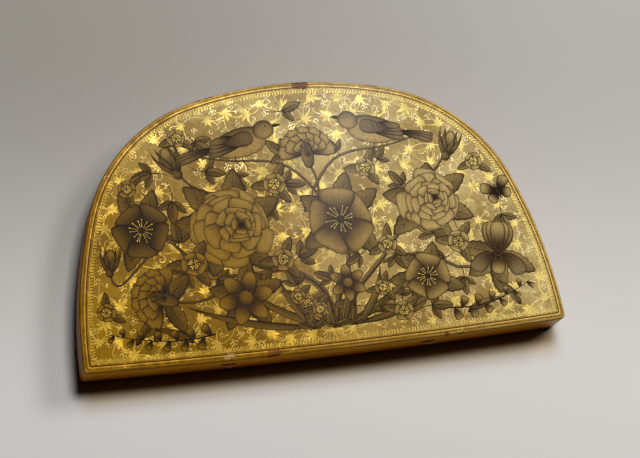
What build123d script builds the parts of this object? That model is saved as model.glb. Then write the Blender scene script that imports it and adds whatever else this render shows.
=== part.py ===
from build123d import *
import os
from math import atan2, cos, degrees, hypot, radians, sin, sqrt

# A mirror case of pasteboard and lacquer: a D-shaped box with a framed mirror inside and a flat
# hinged lid over it. Millimetres, +Z up. It lies closed on its back, painted lid on top. The
# straight side, where the lid is hinged, faces -Y, and the arch rises towards +Y.

# Plan: three arcs a side make the arch, and the straight side swells a little
HALF_WIDTH = 112.5      # middle to corner, along the straight side
DEPTH = 126.7           # corner to crown
CROWN_R = 185.6
SHOULDER_R = 76.6
SIDE_R = 217.0
BOW = 2.0               # swell of the straight side at its middle
CORNER_R = 2.0          # rounding of the two corners, seen from above

# Case
BACK_T = 3.0            # back board
WALL_H = 7.5            # wall, above the back board
WALL_T = 5.0            # wall and lid rim are equally thick
BACK_EDGE_R = 1.5       # rounding under the case

# Lid
LID_GAP = 0.1           # air between the closed lid and the case wall
RIM_H = 3.5
LID_T = 3.5
LID_ARRIS_R = 0.9       # rounding round the top of the lid
LINING_T = 0.8
WEAR_X = 6.3            # hollow worn by the thumb at the crown
WEAR_W = 7.0
WEAR_DEPTH = 0.6

# Mirror and its frame
BED_T = 2.6             # packing board under the mirror
SILVER_T = 0.15
GLASS_T = 2.5
PACKING_T = 1.2         # strip between the edge of the glass and the wall
FRAME_W = 12.0          # frame, from the wall to the sight edge
LIP_W = 3.2             # flat outer part of the frame, before its bevel
LIP_H = 1.8             # the lip stands this far above the wall and locates the lid
SIGHT_H = 1.9           # frame at its sight edge, above the glass
BEAD_W = 1.7            # gilt bead inside the sight edge
BEAD_H = 1.3
BEAD_BEVEL = 0.5

# Wire hinges: a staple in the case wall passes through an eye in the lid rim
HINGE_X = 47.0          # middle of the case to each hinge
STAND_OFF = 0.15        # axis outside the furthest point of the straight side
WIRE_R = 0.45
STAPLE_HALF = 2.5       # middle of the staple to its legs
STAPLE_LEG = 6.0
STAPLE_TILT = 45.0      # legs run in and down at this angle
STRAP_T = 0.6           # strap that makes the eye
STRAP_W = 1.2
STRAP_BEVEL = 0.3
EYE_LEG_R = 0.5
EYE_LEG = 4.8
EYE_TILT = 35.0         # leg runs in and up at this angle

# Fits
PASTE = 0.05            # line of paste between glued or inserted pieces
LID_FIT = 0.4           # frame lip to lid rim
LINING_FIT = 0.3        # lining to lid rim
EYE_FIT = 0.06          # wire to eye, all round
POCKET_FIT = 0.25       # eye and staple to the pocket cut for them

# Heights and radii that follow
SEAM_Z = BACK_T + WALL_H
RIM_Z = SEAM_Z + LID_GAP
BOARD_Z = RIM_Z + RIM_H
TOP_Z = BOARD_Z + LID_T
SILVER_Z = BACK_T + BED_T
GLASS_Z = SILVER_Z + SILVER_T
FACE_Z = GLASS_Z + GLASS_T
BOW_R = (HALF_WIDTH**2 + BOW**2) / (2 * BOW)
AXIS_Y = -(BOW + STAND_OFF)
AXIS_Z = SEAM_Z + LID_GAP / 2
BORE_R = WIRE_R + EYE_FIT
EYE_R = BORE_R + STRAP_T

TO_BASE = (Align.CENTER, Align.CENTER, Align.MIN)

# How far in from the outer edge each piece ends
BED_IN = WALL_T + PASTE
GLASS_IN = BED_IN + PACKING_T + PASTE
SIGHT_IN = BED_IN + FRAME_W


def meeting_point(centre_a, radius_a, centre_b, radius_b, upper):
    """Where two circles cross, on the upper or the lower side of the line of their centres."""
    ax, ay = centre_a
    dx, dy = centre_b[0] - ax, centre_b[1] - ay
    gap = hypot(dx, dy)
    along = (radius_a**2 - radius_b**2 + gap**2) / (2 * gap)
    aside = sqrt(radius_a**2 - along**2)
    first = (ax + (along * dx - aside * dy) / gap, ay + (along * dy + aside * dx) / gap)
    second = (ax + (along * dx + aside * dy) / gap, ay + (along * dy - aside * dx) / gap)
    return max(first, second, key=lambda p: p[1] if upper else -p[1])


def heading(centre, point):
    return degrees(atan2(point[1] - centre[1], point[0] - centre[0]))


CROWN_C = (0.0, DEPTH - CROWN_R)
SIDE_C = (HALF_WIDTH - SIDE_R, 0.0)
BOW_C = (0.0, BOW_R - BOW)
SHOULDER_C = meeting_point(CROWN_C, CROWN_R - SHOULDER_R, SIDE_C, SIDE_R - SHOULDER_R, upper=True)


def corner_point(inset):
    """The right corner of the D, drawn inset from the outer edge."""
    return meeting_point(SIDE_C, SIDE_R - inset, BOW_C, BOW_R - inset, upper=False)


def d_face(inset=0.0, corner_r=0.0):
    """The D shape, drawn inset from the outer edge, flat on the ground."""
    corner = corner_point(inset)
    low = heading(SIDE_C, corner)
    side_top = heading(SIDE_C, SHOULDER_C)
    crown_end = heading(CROWN_C, SHOULDER_C)
    side = CenterArc(SIDE_C, SIDE_R - inset, low, side_top - low)
    shoulder = CenterArc(SHOULDER_C, SHOULDER_R - inset, side_top, crown_end - side_top)
    crown = CenterArc(CROWN_C, CROWN_R - inset, crown_end, 180 - 2 * crown_end)
    straight_end = heading(BOW_C, corner)
    straight = CenterArc(BOW_C, BOW_R - inset, straight_end, -180 - 2 * straight_end)
    right = [side, shoulder]
    left = [mirror(edge, about=Plane.YZ) for edge in right]
    face = make_face(right + [crown] + left + [straight])
    if corner_r:
        ends = face.vertices().sort_by(Axis.X)
        face = fillet([ends[0], ends[-1]], corner_r)
    return face


def slab(inset, bottom, height, corner_r=0.0):
    return extrude(Pos(0, 0, bottom) * d_face(inset, corner_r), height)


def taper(low_in, high_in, bottom, height):
    """A solid D whose sides slope from one inset at the bottom to another at the top."""
    low = Pos(0, 0, bottom) * d_face(low_in)
    high = Pos(0, 0, bottom + height) * d_face(high_in)
    return loft([low, high], ruled=True)


def ring(outer_in, inner_in, bottom, height, corner_r=0.0):
    return slab(outer_in, bottom, height, corner_r) - slab(inner_in, bottom, height)


def straight_zone(bottom, height):
    """A block round the straight side that ends at the two mitres."""
    beyond = 2 * WALL_T
    out_x, out_y = corner_point(0.0)
    in_x, in_y = corner_point(WALL_T)
    far_x = out_x + (out_x - in_x) / WALL_T * beyond
    far_y = out_y + (out_y - in_y) / WALL_T * beyond
    half = [(0, far_y - BOW), (far_x, far_y - BOW), (far_x, far_y), (in_x, in_y), (0, in_y)]
    outline = half + [(-x, y) for x, y in reversed(half[1:4])]
    return extrude(Pos(0, 0, bottom) * make_face(Polyline(*outline, close=True)), height)


def wall_strips(bottom, height):
    """One wall as its bent strip and its straight strip, mitred together at the corners."""
    wall = ring(0.0, WALL_T, bottom, height, CORNER_R)
    zone = straight_zone(bottom, height)
    return wall - zone, wall & zone


def back_board():
    board = slab(0.0, 0.0, BACK_T, CORNER_R)
    return fillet(board.faces().sort_by(Axis.Z)[0].edges(), BACK_EDGE_R)


def lid_board():
    """The painted board, with the hollow that thumbs have worn in its edge at the crown."""
    board = slab(0.0, BOARD_Z, LID_T, CORNER_R)
    board = fillet(board.faces().sort_by(Axis.Z)[-1].edges(), LID_ARRIS_R)
    ball_r = (WEAR_W**2 / 4 + WEAR_DEPTH**2) / (2 * WEAR_DEPTH)
    edge_y = CROWN_C[1] + sqrt(CROWN_R**2 - WEAR_X**2)
    return board - Pos(WEAR_X, edge_y - LID_ARRIS_R, TOP_Z + ball_r - WEAR_DEPTH) * Sphere(ball_r)


def mirror_frame():
    """A bevelled frame over the glass, stepped in above the wall so that the lid drops round it."""
    seated = ring(BED_IN, SIGHT_IN, FACE_Z, SEAM_Z - FACE_Z)
    lip = ring(WALL_T + LID_FIT, SIGHT_IN, SEAM_Z, LIP_H)
    bevel_z = FACE_Z + SIGHT_H
    bevel = taper(SIGHT_IN, WALL_T + LID_FIT + LIP_W, bevel_z, SEAM_Z + LIP_H - bevel_z)
    return seated + lip - bevel


def gilt_bead():
    """A bead laid on the glass along the frame, with both of its upper edges bevelled."""
    outer = SIGHT_IN + PASTE
    inner = outer + BEAD_W
    straight_h = BEAD_H - BEAD_BEVEL
    bevel_z = FACE_Z + straight_h
    bead = slab(outer, FACE_Z, straight_h) + taper(outer, outer + BEAD_BEVEL, bevel_z, BEAD_BEVEL)
    hole = slab(inner, FACE_Z, straight_h) + taper(inner, inner - BEAD_BEVEL, bevel_z, BEAD_BEVEL)
    return bead - hole


def staple():
    """Bent wire: the crown lies on the hinge axis, and both legs run into the case wall."""
    wire = Rot(0, 90, 0) * Cylinder(WIRE_R, 2 * STAPLE_HALF)
    for x in (-STAPLE_HALF, STAPLE_HALF):
        leg = Rot(-90 - STAPLE_TILT, 0, 0) * Cylinder(WIRE_R, STAPLE_LEG, align=TO_BASE)
        wire = wire + Pos(x, 0, 0) * leg + Pos(x, 0, 0) * Sphere(WIRE_R)
    return wire


def eye():
    """A strap closed round the staple's crown, with a leg that runs into the lid rim."""
    strap = Rot(0, 90, 0) * Cylinder(EYE_R, STRAP_W)
    strap = chamfer(strap.edges().filter_by(GeomType.CIRCLE), STRAP_BEVEL)
    leg = Rot(EYE_TILT - 90, 0, 0) * Cylinder(EYE_LEG_R, EYE_LEG, align=TO_BASE)
    return strap + leg - Rot(0, 90, 0) * Cylinder(BORE_R, 2 * EYE_LEG)


def pocket():
    """Round pocket along the hinge axis that clears the eye and the staple's crown."""
    length = 2 * (STAPLE_HALF + WIRE_R + POCKET_FIT)
    return Rot(0, 90, 0) * Cylinder(EYE_R + POCKET_FIT, length)


def build():
    case_arch, case_straight = wall_strips(BACK_T, WALL_H)
    rim_arch, rim_straight = wall_strips(RIM_Z, RIM_H)
    pieces = {
        "case_back_board": back_board(),
        "case_arch_wall": case_arch,
        "mirror_bed": slab(BED_IN, BACK_T, BED_T),
        "mirror_silvering": slab(GLASS_IN, SILVER_Z, SILVER_T),
        "mirror_glass": slab(GLASS_IN, GLASS_Z, GLASS_T),
        "glass_packing": ring(BED_IN, BED_IN + PACKING_T, SILVER_Z, SILVER_T + GLASS_T),
        "mirror_frame": mirror_frame(),
        "gilt_bead": gilt_bead(),
        "lid_board": lid_board(),
        "lid_arch_rim": rim_arch,
        "lid_lining": slab(WALL_T + LINING_FIT, BOARD_Z - LINING_T, LINING_T),
    }
    for side, x in (("left", -HINGE_X), ("right", HINGE_X)):
        on_axis = Pos(x, AXIS_Y, AXIS_Z)
        wire, strap, hollow = on_axis * staple(), on_axis * eye(), on_axis * pocket()
        case_straight = case_straight - hollow - wire
        rim_straight = rim_straight - hollow - strap
        pieces[f"hinge_staple_{side}"] = wire
        pieces[f"hinge_eye_{side}"] = strap
    pieces["case_straight_wall"] = case_straight
    pieces["lid_straight_rim"] = rim_straight
    return pieces


# The origin is under the middle of the whole object, hinges counted, on what it lies on
to_origin = Pos(0, -(DEPTH + AXIS_Y - EYE_R) / 2, 0)
os.makedirs("parts", exist_ok=True)
for name, solid in build().items():
    export_step(to_origin * solid, f"parts/{name}.step")
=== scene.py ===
from math import atan2, cos, degrees, hypot, pi, radians, sin, sqrt
from random import Random

import bmesh
import bpy
from mathutils import Matrix, Vector


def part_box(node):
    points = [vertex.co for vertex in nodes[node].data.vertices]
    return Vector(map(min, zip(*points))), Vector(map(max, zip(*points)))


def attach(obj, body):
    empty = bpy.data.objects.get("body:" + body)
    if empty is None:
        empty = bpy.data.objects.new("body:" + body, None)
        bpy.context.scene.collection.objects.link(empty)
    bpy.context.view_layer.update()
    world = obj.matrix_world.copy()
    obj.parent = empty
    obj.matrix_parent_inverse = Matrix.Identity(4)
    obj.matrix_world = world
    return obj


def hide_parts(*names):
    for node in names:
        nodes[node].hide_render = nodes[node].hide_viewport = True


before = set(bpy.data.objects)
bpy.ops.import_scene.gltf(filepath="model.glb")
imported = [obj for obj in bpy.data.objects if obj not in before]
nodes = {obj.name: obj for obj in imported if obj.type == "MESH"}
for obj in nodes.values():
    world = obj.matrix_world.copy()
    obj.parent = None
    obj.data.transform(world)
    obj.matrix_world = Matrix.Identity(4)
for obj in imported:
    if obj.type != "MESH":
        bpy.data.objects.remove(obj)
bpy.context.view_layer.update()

# A lacquer mirror case, closed, with its painted lid up. Drawing is done in millimetres on the
# plan of the lid: X along the straight side from its middle, Y from that side to the crown.
MM = 0.001
scene = bpy.context.scene
collection = scene.collection

# Plan of the case, as it is built
HALF_WIDTH = 112.5
DEPTH = 126.7
CROWN_R = 185.6
SHOULDER_R = 76.6
SIDE_R = 217.0
BOW = 2.0
BOW_R = (HALF_WIDTH**2 + BOW**2) / (2 * BOW)

# In metres: where the plan's straight side lies, and the heights of the faces used below
lid_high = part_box("lid_board")[1]
PLAN_Y = lid_high.y - DEPTH * MM
TOP = lid_high.z
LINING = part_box("lid_lining")[0].z
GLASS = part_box("mirror_glass")[1].z
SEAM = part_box("case_straight_wall")[1].z
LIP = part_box("mirror_frame")[1].z

# Mirror: inset of the glass, the slit between it and the silvering, the frame's level lip and slope
GLASS_INSET = 6.3
SLIT = 0.04 * MM
LIP_FLAT = 8.6
FRAME_SLOPE = 2.15 / 8.45

# Camera: its place in metres, the way it looks in degrees, its lens in millimetres
CAMERA_AT = (-0.2327, -0.2531, 0.8640)
CAMERA_ELEVATION = 68.06
CAMERA_AZIMUTH = 43.86
CAMERA_ROLL = 35.95
LENS = 112.5
SENSOR = 36.0

# Lamps: elevation and azimuth in degrees, width and height in metres, power in watts
LAMP_DISTANCE = 1.3
KEY = (69.0, 22.0, (0.42, 0.34), 12.2)
FILL = (42.0, 60.0, (0.5, 0.4), 8.2)

# World: its strength as light on the case, and as metal and glass see it
WORLD_LIGHT = 0.006
WORLD_SEEN = 0.25

# Floor, in metres: half its width, its depth under the case, and how far its painted warm shadow reaches
FLOOR_HALF = 4.0
FLOOR_BELOW = 0.1 * MM
WARM_SHADOW_REACH = 18 * MM

# Painted light falloff of the floor, darker towards the back and, there, towards the left. Across and down
# the picture: growth per metre along X and Y, and the start
ACROSS = (3.33, -0.426, -0.436)
DOWN = (-0.382, -5.032, -0.525)


def srgb(red, green, blue):
    """A colour given on the 0 to 255 scale of a screen, as linear light."""
    shares = [value / 255 for value in (red, green, blue)]
    return tuple(c / 12.92 if c < 0.04045 else ((c + 0.055) / 1.055) ** 2.4 for c in shares)


def mix(a, b, t):
    """The colour between two others, at a share t of the way."""
    t = min(1.0, max(0.0, t))
    return tuple(p + (q - p) * t for p, q in zip(a, b))


def smooth(low, high, value):
    """A step from 0 to 1 between two values, with soft ends."""
    t = min(1.0, max(0.0, (value - low) / (high - low)))
    return t * t * (3 - 2 * t)


# Pigments, as they look at the paler right end of the lid, whose paleness is partly painted sheen
INK = srgb(38, 24, 12)
UMBER = srgb(78, 57, 32)
DRAB = srgb(138, 116, 78)
BUFF = srgb(178, 151, 92)
LEAF_DARK = srgb(54, 39, 21)
LEAF_LIGHT = srgb(152, 128, 76)
GOLD = srgb(220, 196, 108)
GOLD_DEEP = srgb(196, 168, 80)
PALE = srgb(236, 219, 160)
RED = srgb(96, 46, 16)
OCHRE = srgb(148, 112, 36)
BARE = srgb(162, 128, 80)
BROWN = srgb(74, 42, 16)
RED_WAX = srgb(86, 44, 18)

# What old varnish leaves of the light, where it has turned amber
AMBER = (0.57, 0.41, 0.035)

# Dark and light colour of what is painted
PETALS = (UMBER, BUFF)
SOFT_PETALS = (srgb(106, 84, 50), srgb(192, 166, 106))
DARK_PETALS = (LEAF_DARK, DRAB)
LEAVES = (LEAF_DARK, LEAF_LIGHT)

# Rubbed and mended places on the lid's edge: plan x, plan y, height over the lid, reach and colour
SPOTS = (
    (-48.4, -0.2, 0, 1.5, BARE), (-46.0, 0.6, 0, 1.2, BARE), (-28.6, -0.8, -0.6, 2.2, RED_WAX),
    (-26.0, -0.4, -0.4, 2.3, RED_WAX), (54.0, -1.2, -0.3, 1.2, BROWN), (60.6, -1.6, -0.4, 1.4, BROWN),
    (4.2, 125.2, 0, 2.6, BROWN), (8.0, 125.0, 0, 2.6, BROWN), (-112.0, 0.4, -0.4, 1.6, BARE),
    (-110.4, -0.2, -9.0, 2.4, BARE), (112.0, 0.2, -0.4, 1.4, BARE))

# Paint: the attribute that holds its colour, and the height of the first and of each further coat
PAINT = "paint"
FIRST_LIFT = 0.02
COAT = 0.0008

# Layout of the lid: insets from its edge, distances between leaves of the scroll and between sprigs
BAND_INSET = 4.75
SCROLL_INSET = 7.5
SCROLL_SPACING = 8.4
TIP_INSET = 7.6
SPRIG_INSET = 13.0
SPRIG_TIP_INSET = 8.0
SPRIG_SPACING = 12.5
RULE_STEP = 2.5

SEED = 7
rng = Random(SEED)


# New things in the scene


def link(name, data):
    """A new object that holds the data."""
    made = bpy.data.objects.new(name, data)
    collection.objects.link(made)
    return made


def mesh_of(bm, name):
    """A new mesh of what was drawn."""
    mesh = bpy.data.meshes.new(name)
    bm.to_mesh(mesh)
    bm.free()
    return mesh


# Outline of the plan


def edge_arcs(inset):
    """The six arcs of the D, inset from the outer edge: centre, radius, first and last angle."""
    crown_y = DEPTH - CROWN_R
    side_x = HALF_WIDTH - SIDE_R
    bow_y = BOW_R - BOW
    gap = hypot(side_x, crown_y)
    reach_a, reach_b = CROWN_R - SHOULDER_R, SIDE_R - SHOULDER_R
    along = (reach_a**2 - reach_b**2 + gap**2) / (2 * gap)
    aside = sqrt(reach_a**2 - along**2)
    ux, uy = side_x / gap, -crown_y / gap
    shoulder = (along * ux + aside * uy, crown_y + along * uy - aside * ux)
    x, y = HALF_WIDTH - inset, inset
    for _ in range(6):
        y = bow_y - sqrt((BOW_R - inset) ** 2 - x * x)
        x = side_x + sqrt((SIDE_R - inset) ** 2 - y * y)
    low = atan2(y, x - side_x)
    side_top = atan2(shoulder[1], shoulder[0] - side_x)
    crown_end = atan2(shoulder[1] - crown_y, shoulder[0])
    bow_end = atan2(y - bow_y, x)
    return [
        ((side_x, 0), SIDE_R - inset, low, side_top),
        (shoulder, SHOULDER_R - inset, side_top, crown_end),
        ((0, crown_y), CROWN_R - inset, crown_end, pi - crown_end),
        ((-shoulder[0], shoulder[1]), SHOULDER_R - inset, pi - crown_end, pi - side_top),
        ((-side_x, 0), SIDE_R - inset, pi - side_top, pi - low),
        ((0, bow_y), BOW_R - inset, -pi - bow_end, bow_end),
    ]


def edge_points(inset, step):
    """Points round the D, about a step apart, from the right corner over the crown and back."""
    points = []
    for (cx, cy), radius, first, last in edge_arcs(inset):
        count = max(2, round(radius * abs(last - first) / step))
        for i in range(count):
            a = first + (last - first) * i / count
            points.append((cx + radius * cos(a), cy + radius * sin(a)))
    return points


# Brushwork


def ahead(x, y, reach, angle):
    """The point at a distance from another, in a direction given in degrees."""
    a = radians(angle)
    return x + reach * cos(a), y + reach * sin(a)


def placed(px, py, spot):
    """A point of a shape, once the shape is turned and moved to its spot: x, y and angle."""
    x, y, angle = spot
    c, s = cos(radians(angle)), sin(radians(angle))
    return x + px * c - py * s, y + px * s + py * c


def blade(length, width, base=0.5, tip=0.5, notch=0.0, fringe=0.0, teeth=0.0, points=12):
    """Outline of a leaf, petal or feather along +X. Low exponents make blunt ends."""
    peak = base / (base + tip)
    most = peak**base * (1 - peak) ** tip
    side = []
    for i in range(1, points):
        t = (1 - cos(pi * i / points)) / 2
        half = width / 2 * t**base * (1 - t) ** tip / most
        x = length * (t - notch * smooth(0.75, 1.0, t))
        if i % 2 and t > 0.6:
            x -= fringe * length
        if i % 2:
            half *= 1 - teeth
        side.append((x, half))
    lower = [(x, -half) for x, half in side]
    return [(0.0, 0.0)] + lower + [(length * (1 - notch), 0.0)] + side[::-1]


def bent(x, y, length, bend):
    """A point of a straight blade after the blade has been bent through an angle."""
    turn = radians(bend)
    if abs(turn) < 0.001:
        return x, y
    radius = length / turn
    return (radius - y) * sin(x / radius), radius - (radius - y) * cos(x / radius)


# Shades of a shape, from 0 for its dark to 1 for its light colour: t runs along it, s across


def petal_shade(t, s):
    return -0.3 + 1.4 * smooth(0.08, 0.98, t) - 0.26 * s * s


def leaf_shade(t, s):
    return 0.5 + 0.45 * s + 0.2 * t


def even_shade(t, s):
    return 0.5 + 0.3 * s


def gilt_shade(t, s):
    return 0.2 + 0.8 * hypot(t, s / 2)


class Painting:
    """Brushwork on one surface: filled shapes in one mesh, lines gathered by colour."""

    def __init__(self, name, body, height, faces_up):
        """Lift is the height of the last coat, motif the one being painted: x, y and reach."""
        self.name = name
        self.body = body
        self.height = height
        self.up = 1 if faces_up else -1
        self.fills = {}
        self.lines = {}
        self.lift = FIRST_LIFT
        self.motif = None
        self.placed = []
        self.scratch = bpy.data.meshes.new("scratch")

    def start(self, x, y, reach):
        """Starts a motif on top of the earlier ones that it touches."""
        if self.motif:
            self.placed.append((*self.motif, self.lift))
        below = [top for a, b, c, top in self.placed if hypot(a - x, b - y) < c + reach]
        self.lift = max(below, default=FIRST_LIFT) + COAT * (1 + len(self.placed) % 7 / 8)
        self.motif = (x, y, reach)

    def fill(self, kind, outline, spot, size, colours, shade=petal_shade, line=0.26, bend=0.0,
             rings=(0.8, 0.6), edge=0.5):
        """One filled shape: a dark outline of the given width, then colour shaded by place."""
        length, width = size
        line = min(line, 0.14 * width)
        if kind not in self.fills:
            self.fills[kind] = bmesh.new()
            self.fills[kind].loops.layers.float_color.new(PAINT)
        bm = bmesh.new()
        paint = bm.loops.layers.float_color.new(PAINT)
        face = bm.faces.new([bm.verts.new((px, py, 0)) for px, py in outline])
        face.normal_update()
        rim = set()
        if line:
            grown = bmesh.ops.inset_region(
                bm, faces=[face], thickness=line, use_even_offset=True, use_boundary=True)
            rim = set(grown["faces"])
        middle = Matrix.Translation((-0.55 * length, 0, 0))
        for keep in rings:
            face = bmesh.ops.extrude_discrete_faces(bm, faces=[face])["faces"][0]
            bmesh.ops.scale(bm, vec=(keep, keep, 1), verts=face.verts, space=middle)
        bmesh.ops.poke(bm, faces=[face])
        self.lift += COAT
        dark, light = colours
        bm.verts.index_update()
        first_inner = 2 * len(outline) if line else len(outline)
        for f in bm.faces:
            for loop in f.loops:
                px, py, _ = loop.vert.co
                tone = shade(px / length, 2 * py / width)
                if loop.vert.index < first_inner:
                    tone -= edge
                colour = mix(INK, UMBER, 0.6 * tone) if f in rim else mix(dark, light, tone)
                loop[paint] = (*colour, 1.0)
        for v in bm.verts:
            v.co = (*placed(*bent(v.co.x, v.co.y, length, bend), spot), self.lift)
        bm.to_mesh(self.scratch)
        bm.free()
        self.fills[kind].from_mesh(self.scratch)

    def line(self, colour, points, widths, spot=(0, 0, 0), length=1.0, bend=0.0):
        """One stroke of the brush through the points, as wide at each as the widths say."""
        route = [(*placed(*bent(px, py, length, bend), spot), *up) for px, py, *up in points]
        self.lines.setdefault(colour, []).append((route, widths, self.lift + COAT / 2))

    def loop(self, colour, points, width):
        """A closed stroke of one width. Points may have a third coordinate: their height over the coat."""
        self.lift += 2 * COAT
        self.lines.setdefault(colour, []).append((points, None, self.lift, width))

    def dot(self, kind, x, y, r, tone):
        """A small round spot of one colour. The strokes after it lie no higher for it."""
        ring = [ahead(0, 0, r, 45 * i) for i in range(8)]
        self.fill(kind, ring, (x, y, 0), (r, r), (tone, tone), even_shade, line=0, rings=())
        self.lift -= COAT

    def finish(self, materials, colours):
        """Turns the gathered brushwork into pieces that ride on the body."""
        place = Matrix.Translation((0, PLAN_Y, self.height)) @ Matrix.Diagonal((MM, MM, self.up * MM, 1))
        for kind, bm in self.fills.items():
            bm.transform(place)
            if self.up < 0:
                bmesh.ops.reverse_faces(bm, faces=bm.faces)
            self.keep(mesh_of(bm, f"{self.name}_{kind}"), materials[kind])
        for colour, strokes in self.lines.items():
            mesh = ribbons(strokes)
            mesh.name = f"{self.name}_{colour}_lines"
            mesh.transform(place)
            if self.up < 0:
                mesh.flip_normals()
            attribute = mesh.attributes.new(PAINT, "FLOAT_COLOR", "CORNER")
            attribute.data.foreach_set("color", [*colours[colour], 1.0] * len(mesh.loops))
            self.keep(mesh, materials[colour])

    def keep(self, mesh, finish):
        """Adds a mesh to the scene with its material, under its body."""
        material, slot = finish
        piece = link(mesh.name, mesh)
        mesh.materials.clear()
        mesh.materials.append(material)
        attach(piece, self.body)


def ribbons(strokes):
    """Flat tapering ribbons along smooth curves, as one mesh."""
    flat = bpy.data.curves.new("brush", "CURVE")
    ends = flat.splines.new("POLY")
    ends.points.add(1)
    ends.points[0].co = (-0.5, 0, 0, 1)
    ends.points[1].co = (0.5, 0, 0, 1)
    brush = link("brush", flat)
    curve = bpy.data.curves.new("strokes", "CURVE")
    curve.dimensions = "3D"
    curve.twist_mode = "Z_UP"
    curve.bevel_mode = "OBJECT"
    curve.bevel_object = brush
    for stroke in strokes:
        points, widths, lift = stroke[:3]
        spline = curve.splines.new("NURBS")
        spline.points.add(len(points) - 1)
        for i, (p, (x, y, *up)) in enumerate(zip(spline.points, points)):
            p.co = (x, y, lift + sum(up), 1)
            p.radius = stroke[3] if widths is None else widths[min(i, len(widths) - 1)]
        spline.order_u = min(3, len(points))
        spline.use_cyclic_u = widths is None
        spline.use_endpoint_u = widths is not None
        spline.resolution_u = 3
    drawn = link("strokes", curve)
    graph = bpy.context.evaluated_depsgraph_get()
    mesh = bpy.data.meshes.new_from_object(drawn.evaluated_get(graph))
    for o in (drawn, brush):
        data = o.data
        bpy.data.objects.remove(o)
        bpy.data.curves.remove(data)
    return mesh


# Flowers, leaves and birds of the lid

# Rings of a peony from the outside in: how many petals, their length and width for a radius of 1
PEONY_RINGS = (
    (8, 1.0, 0.8), (8, 0.84, 0.66), (7, 0.68, 0.55), (6, 0.5, 0.46), (5, 0.34, 0.36), (3, 0.22, 0.3))

# Points of a vine leaf: direction and reach
LOBES = ((0, 1.0), (44, 0.86), (88, 0.8), (136, 0.55), (224, 0.55), (272, 0.8), (316, 0.86))


def petal(p, x, y, angle, length, width, colours=PETALS, rays=6, bend=0.0, line=0.26, **form):
    """One petal with the painter's modelling lines running out from its base."""
    outline = blade(length, width, **form)
    p.fill("flowers", outline, (x, y, angle), (length, width), colours, bend=bend, line=line)
    for i in range(rays):
        s = (i + 0.5) / rays * 1.5 - 0.75
        far = length * (0.55 + 0.2 * rng.random())
        route = [(0.12 * length, 0.1 * s * width), (0.4 * far, 0.3 * s * width), (far, 0.46 * s * width)]
        p.line("ink", route, (0.3, 0.2, 0.04), (x, y, angle), length, bend)


def peony(p, x, y, r, turn=0.0):
    """A full double flower that looks a little to one side."""
    for ring, (count, reach, wide) in enumerate(PEONY_RINGS):
        middle = ahead(x, y, 0.055 * r * ring, turn)
        for i in range(count):
            angle = turn + 360 * (i + 0.45 * rng.random()) / count + 47 * ring
            length = r * reach * rng.uniform(0.88, 1.08)
            width = r * wide * rng.uniform(0.85, 1.15)
            petal(p, *middle, angle, length, width, SOFT_PETALS, base=0.8, tip=0.28,
                  notch=rng.choice((0.0, 0.05, 0.1)), bend=rng.uniform(-14, 14))


def wild_rose(p, x, y, r, turn=0.0, notch=0.09, colours=PETALS):
    """Five broad petals round a dark eye."""
    for i in range(5):
        angle = turn + 72 * i + rng.uniform(-5, 5)
        length = r * rng.uniform(0.9, 1.05)
        petal(p, x, y, angle, length, 1.04 * r, colours, rays=8, bend=rng.uniform(-12, 12), base=0.8,
              tip=0.32, notch=notch)
    heart(p, x, y, r * 0.2)


def dark_rose(p, x, y, r, turn):
    wild_rose(p, x, y, r, turn, colours=DARK_PETALS)


def heart(p, x, y, r):
    """The dark eye of a flower, with a ring of gold stamens."""
    ring = [ahead(0, 0, r, 22.5 * i) for i in range(16)]
    p.fill("flowers", ring, (x, y, 0), (r, 2 * r), (INK, UMBER), even_shade, line=0, rings=())
    for i in range(14):
        a = i * pi / 7 + rng.uniform(-0.15, 0.15)
        near, far = 0.6 * r, r * rng.uniform(1.5, 2.1)
        p.line("gold", [(x + d * cos(a), y + d * sin(a)) for d in (near, far)], (0.16, 0.12))
        p.dot("scroll", x + far * cos(a), y + far * sin(a), 0.27, GOLD)


def carnation(p, x, y, r, angle):
    """Seen from the side: a calyx that opens into a fan of fringed petals."""
    mouth = ahead(x, y, 0.5 * r, angle)
    for reach, spread, count in ((1.0, 82, 7), (0.78, 60, 6), (0.5, 40, 4)):
        for i in range(count):
            lean = spread * (2 * i / (count - 1) - 1)
            petal(p, *mouth, angle + lean, r * reach, r * 0.5, base=1.0, tip=0.22, fringe=0.07, points=18)
    calyx = (0.95 * r, 0.42 * r)
    p.fill("leaves", blade(*calyx, base=0.4, tip=0.5), (x, y, angle), calyx, LEAVES, leaf_shade)
    sepal = (0.5 * r, 0.16 * r)
    for lean in (-22, 0, 22):
        spot = (*ahead(x, y, 0.4 * r, angle), angle + lean)
        p.fill("leaves", blade(*sepal, tip=1.0), spot, sepal, LEAVES, leaf_shade, line=0.16, rings=())


def iris(p, x, y, r, angle):
    """Three petals that stand and three that fall, seen from the side."""
    for lean, bend in ((-38, -50), (38, 50), (-14, -10), (14, 10), (0, 0)):
        petal(p, x, y, angle + lean, r, 0.48 * r, bend=-bend, base=0.9, tip=0.4)
    for lean, bend in ((-100, -60), (100, 60)):
        petal(p, x, y, angle + lean, 0.95 * r, 0.5 * r, (UMBER, DRAB), bend=bend, base=0.9, tip=0.34)
    petal(p, x, y, angle + 180, 0.62 * r, 0.44 * r, base=0.7, tip=0.4)


def narcissus(p, x, y, r, turn=0.0):
    """Six pointed petals round a short frilled cup."""
    for i in range(6):
        petal(p, x, y, turn + 60 * i, r, r * 0.6, rays=3, base=0.6, tip=0.62)
    cup = [ahead(0, 0, r * 0.3 * (1 - 0.14 * (i % 2)), 18 * i) for i in range(20)]
    p.fill("flowers", cup, (x, y, 0), (0.3 * r, 0.6 * r), PETALS, even_shade, line=0.2, rings=(0.6,))


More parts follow.
